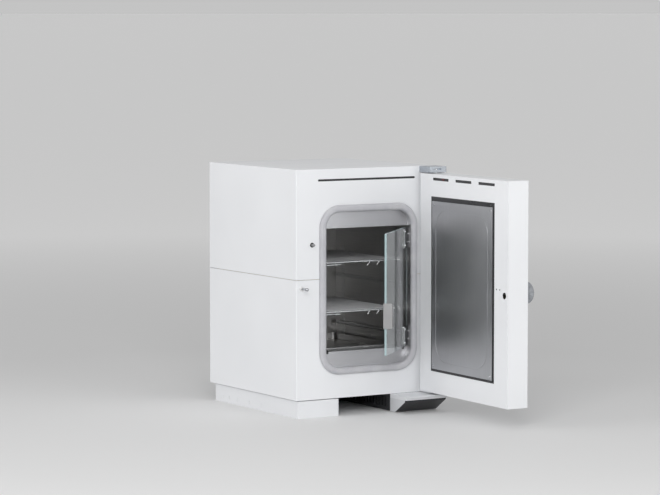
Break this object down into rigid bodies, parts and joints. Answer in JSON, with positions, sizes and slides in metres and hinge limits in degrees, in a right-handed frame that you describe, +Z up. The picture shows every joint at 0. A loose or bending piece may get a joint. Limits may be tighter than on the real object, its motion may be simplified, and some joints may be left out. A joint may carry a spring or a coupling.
{
  "type": "laboratory incubator",
  "caption": "Bench-top laboratory incubator: white insulated cabinet on a plinth, thick side-hinged door with a knob latch, inner glass door, wire shelves in a steel chamber.",
  "frame": {"origin": "on the floor, under the centre of the cabinet's footprint", "axes": "+X to the right as seen from the front, +Y to the back, +Z up; the door's side faces -Y"},
  "size_m": [0.5302, 1.079, 0.755],
  "materials": {
    "white_paint": "satin powder coat",
    "satin_aluminium": "satin",
    "galvanised_sheet": "matt",
    "stainless_dark": "satin",
    "stainless_bright": "satin",
    "stainless_plate": "brushed",
    "polished_steel": "polished",
    "gasket_silicone": "matt",
    "black_plastic": "matt",
    "grey_plastic": "satin",
    "dark_paint": "matt",
    "handle_plastic": "satin",
    "clear_glass": "polished",
    "black_rubber": "matt",
    "port_silicone": "matt",
    "tinted_lens": "gloss",
    "mineral_wool": "fibrous",
    "foam": "matt",
    "heater_foil": "matt",
    "circuit_board": "satin",
    "brass_fitting": "satin",
    "bush_plastic": "satin",
    "port_steel": "satin"
  },
  "bodies": {
    "cabinet": {"upper_cover": "white_paint", "lower_cover": "white_paint", "base_pan": "galvanised_sheet", "rear_panel": "galvanised_sheet", "rear_screws": "polished_steel", "insulation_blocks": "mineral_wool", "chamber_liner": "stainless_dark", "chamber_heaters": "heater_foil", "front_frame": "stainless_bright", "door_gasket": "gasket_silicone", "slot_trim": "black_plastic", "door_switch_body": "black_plastic", "striker_pin": "polished_steel", "striker_collar": "white_paint", "hinge_bracket_top": "satin_aluminium", "hinge_bracket_bottom": "white_paint", "hinge_pins": "polished_steel", "plinth": "white_paint", "service_unit_housing": "dark_paint", "service_unit_nose": "grey_plastic", "service_unit_lip": "white_paint", "shelf_rails_left": "stainless_dark", "shelf_rails_right": "stainless_dark", "glass_door_bumpers": "black_rubber", "glass_hinge_lugs": "stainless_bright", "glass_hinge_pins": "stainless_bright", "electronics_tray": "galvanised_sheet", "control_board": "circuit_board", "temperature_probe": "stainless_bright", "access_port": "port_steel", "port_plug": "port_silicone", "gas_inlets": "brass_fitting", "power_inlet": "black_plastic"},
    "outer_door": {"door_shell": "white_paint", "door_inner_panel": "white_paint", "door_core": "foam", "plate_surround": "black_plastic", "door_plate": "stainless_plate", "door_screws": "polished_steel", "display_housings": "black_plastic", "display_lenses": "tinted_lens", "slot_windows": "black_plastic", "key_pads": "grey_plastic", "hinge_bushes": "bush_plastic", "knob_collar": "black_plastic", "latch_bracket": "galvanised_sheet"},
    "latch": {"door_knob": "grey_plastic", "latch_spindle": "polished_steel", "latch_cam": "polished_steel"},
    "glass_door": {"glass_pane": "clear_glass", "glass_hinge_clamps": "polished_steel", "glass_clamp_screws": "stainless_bright", "glass_handle": "handle_plastic"},
    "switch_button": {"door_switch_button": "grey_plastic"},
    "lower_shelf": {"lower_shelf_frame": "stainless_bright", "lower_shelf_mesh": "stainless_bright"},
    "upper_shelf": {"upper_shelf_frame": "stainless_bright", "upper_shelf_mesh": "stainless_bright"},
    "water_pan": {"water_pan": "stainless_dark"}
  },
  "joints": [
    {"name": "outer_door_hinge", "type": "hinge", "parent": "cabinet", "child": "outer_door", "pos_m": [0.219, -0.318, 0.055], "axis": [0, 0, 1], "range_deg": [-87.6, 47]},
    {"name": "glass_door_hinge", "type": "hinge", "parent": "cabinet", "child": "glass_door", "pos_m": [0.151, -0.257, 0.2003], "axis": [0, 0, 1], "range_deg": [-45, 25]},
    {"name": "door_knob_turn", "type": "hinge", "parent": "outer_door", "child": "latch", "pos_m": [0.23844, -0.73768, 0.398], "axis": [0.9991, -0.0419, 0], "range_deg": [-60, 0]},
    {"name": "door_switch_press", "type": "slide", "parent": "cabinet", "child": "switch_button", "axis": [0, -1, 0], "range_m": [-0.003, 0], "stiffness_N_per_m": 200},
    {"name": "lower_shelf_slide", "type": "slide", "parent": "cabinet", "child": "lower_shelf", "axis": [0, -1, 0], "range_m": [0, 0.026]},
    {"name": "upper_shelf_slide", "type": "slide", "parent": "cabinet", "child": "upper_shelf", "axis": [0, -1, 0], "range_m": [0, 0.026]},
    {"name": "water_pan_lift", "type": "slide", "parent": "cabinet", "child": "water_pan", "axis": [0, 0, 1], "range_m": [0, 0.02]}
  ],
  "couplings": [
    {"joint": "glass_door_hinge", "follows": "outer_door_hinge", "ratio": 0.5135}
  ]
}
